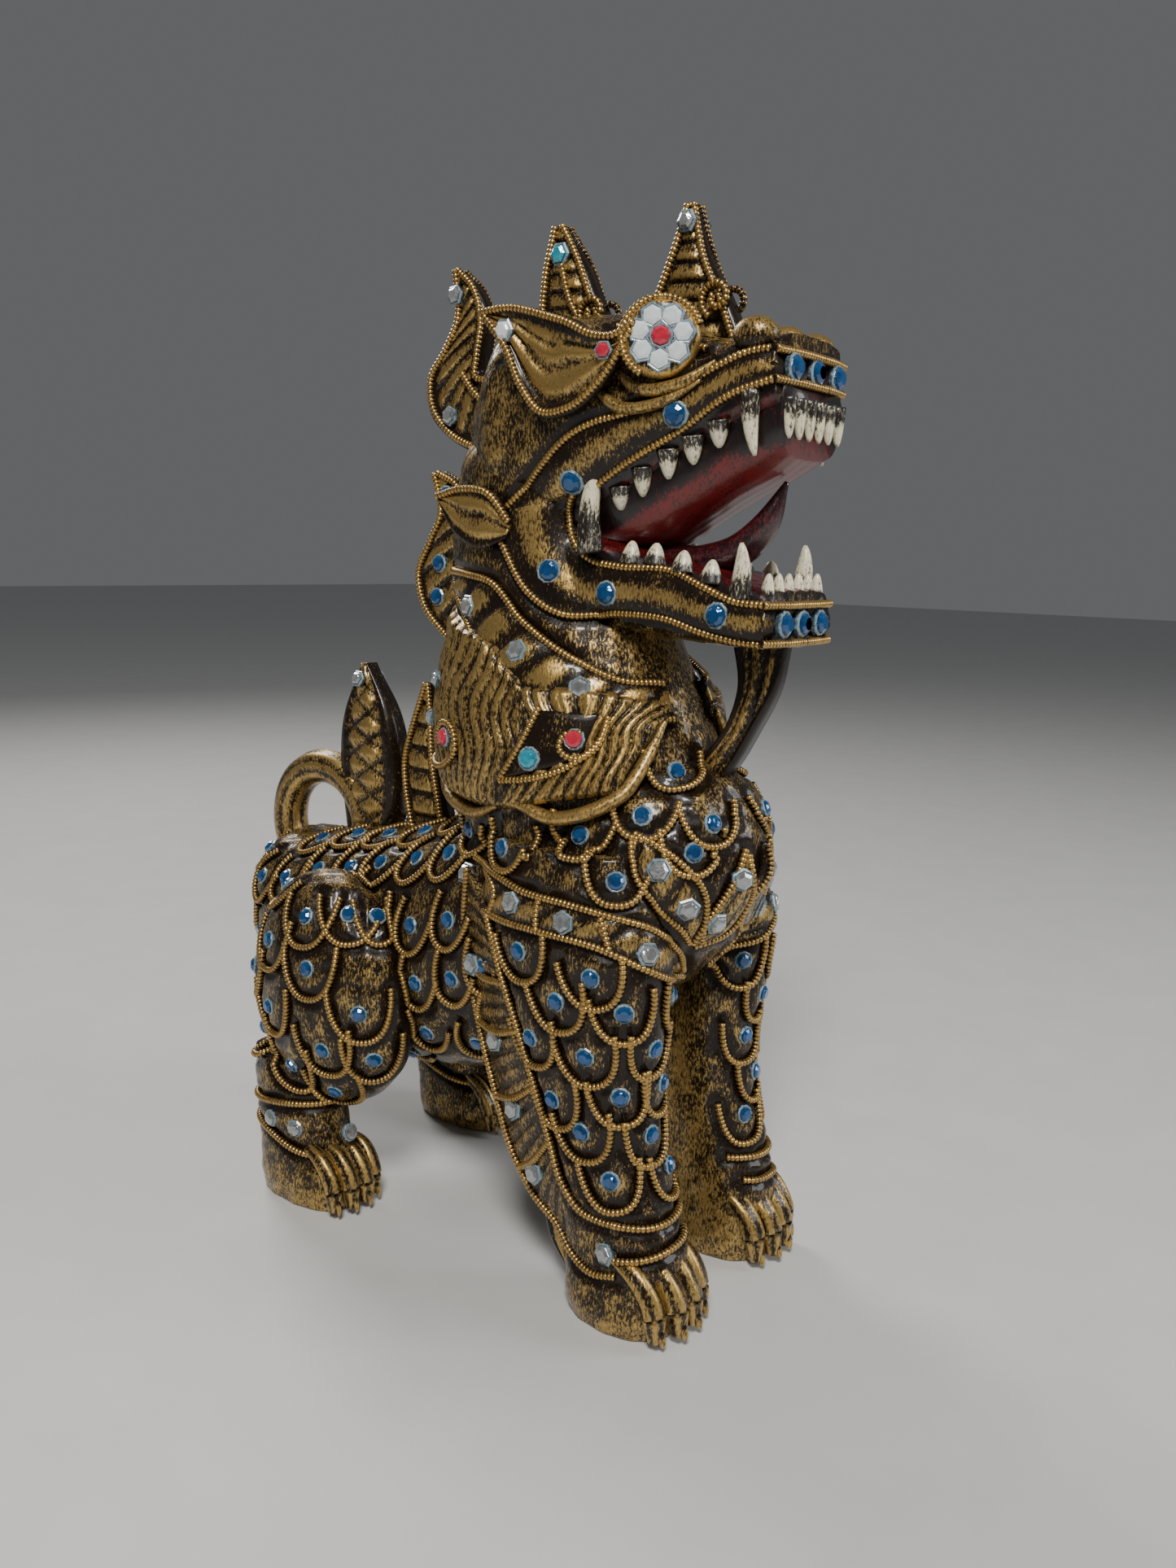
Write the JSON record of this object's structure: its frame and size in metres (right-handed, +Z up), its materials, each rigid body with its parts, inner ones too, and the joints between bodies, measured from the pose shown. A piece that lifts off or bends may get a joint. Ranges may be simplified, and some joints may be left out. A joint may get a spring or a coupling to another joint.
{
  "type": "guardian lion statue",
  "caption": "Free-standing carved guardian lion with open jaws, flame crests, beaded moulding and set glass stones, for display on a shelf or table.",
  "frame": {"origin": "on the ground under the middle of the object's box, on the median plane", "axes": "+Z up, the lion faces -Y, +X is its own left side"},
  "size_m": [0.1158, 0.2396, 0.3468],
  "materials": {
    "gilt_lacquer": "dark lacquer, dry-brushed gold, clear gloss coat",
    "gold_bead": "moulded thread with gilt tops and dark grooves",
    "tooth_paint": "cream paint brushed over black",
    "maroon_lacquer": "dark red lacquer, gloss",
    "blue_glass": "foil-backed cut glass",
    "mirror_glass": "clear foil-backed cut glass",
    "white_glass": "milky foil-backed glass",
    "red_glass": "foil-backed red glass",
    "dowel_wood": "plain turned wood"
  },
  "bodies": {
    "root": {"breast_pendant_left": "gilt_lacquer", "breast_pendant_right": "gilt_lacquer", "breast_stones_left": "mirror_glass", "breast_stones_right": "mirror_glass", "cheek_leaf_left": "gilt_lacquer", "cheek_leaf_right": "gilt_lacquer", "cheek_teeth": "tooth_paint", "chin_strut": "gilt_lacquer", "collar_leaf_left": "gilt_lacquer", "collar_leaf_right": "gilt_lacquer", "crest_front": "gilt_lacquer", "crest_middle": "gilt_lacquer", "crest_rear": "gilt_lacquer", "ear_left": "gilt_lacquer", "ear_right": "gilt_lacquer", "eye_boss_left": "gilt_lacquer", "eye_boss_right": "gilt_lacquer", "eye_centre_left": "red_glass", "eye_centre_right": "red_glass", "eye_petals_left": "white_glass", "eye_petals_right": "white_glass", "fangs": "tooth_paint", "flank_stones_left": "blue_glass", "flank_stones_right": "blue_glass", "fore_teeth": "tooth_paint", "front_cuff_left": "gold_bead", "front_cuff_right": "gold_bead", "front_leg_left": "gilt_lacquer", "front_leg_right": "gilt_lacquer", "front_leg_strip_left": "gilt_lacquer", "front_leg_strip_right": "gilt_lacquer", "haunch_stones_left": "blue_glass", "haunch_stones_right": "blue_glass", "head": "gilt_lacquer", "heel_spur_left": "gilt_lacquer", "heel_spur_right": "gilt_lacquer", "hind_cuff_left": "gold_bead", "hind_cuff_right": "gold_bead", "hind_leg_left": "gilt_lacquer", "hind_leg_right": "gilt_lacquer", "jaw_stones_left": "blue_glass", "jaw_stones_right": "blue_glass", "leg_stones_left": "blue_glass", "leg_stones_right": "blue_glass", "lower_jaw": "gilt_lacquer", "mane_left": "gilt_lacquer", "mane_right": "gilt_lacquer", "mane_stones_left": "mirror_glass", "mane_stones_right": "mirror_glass", "nape_flame": "gilt_lacquer", "neck": "gilt_lacquer", "snout_nubs": "gilt_lacquer", "tail": "gilt_lacquer", "tail_dowel": "dowel_wood", "tail_plume": "gilt_lacquer", "tongue": "maroon_lacquer", "torso": "gilt_lacquer", "tusks": "tooth_paint", "withers_flame": "gilt_lacquer"}
  },
  "joints": []
}
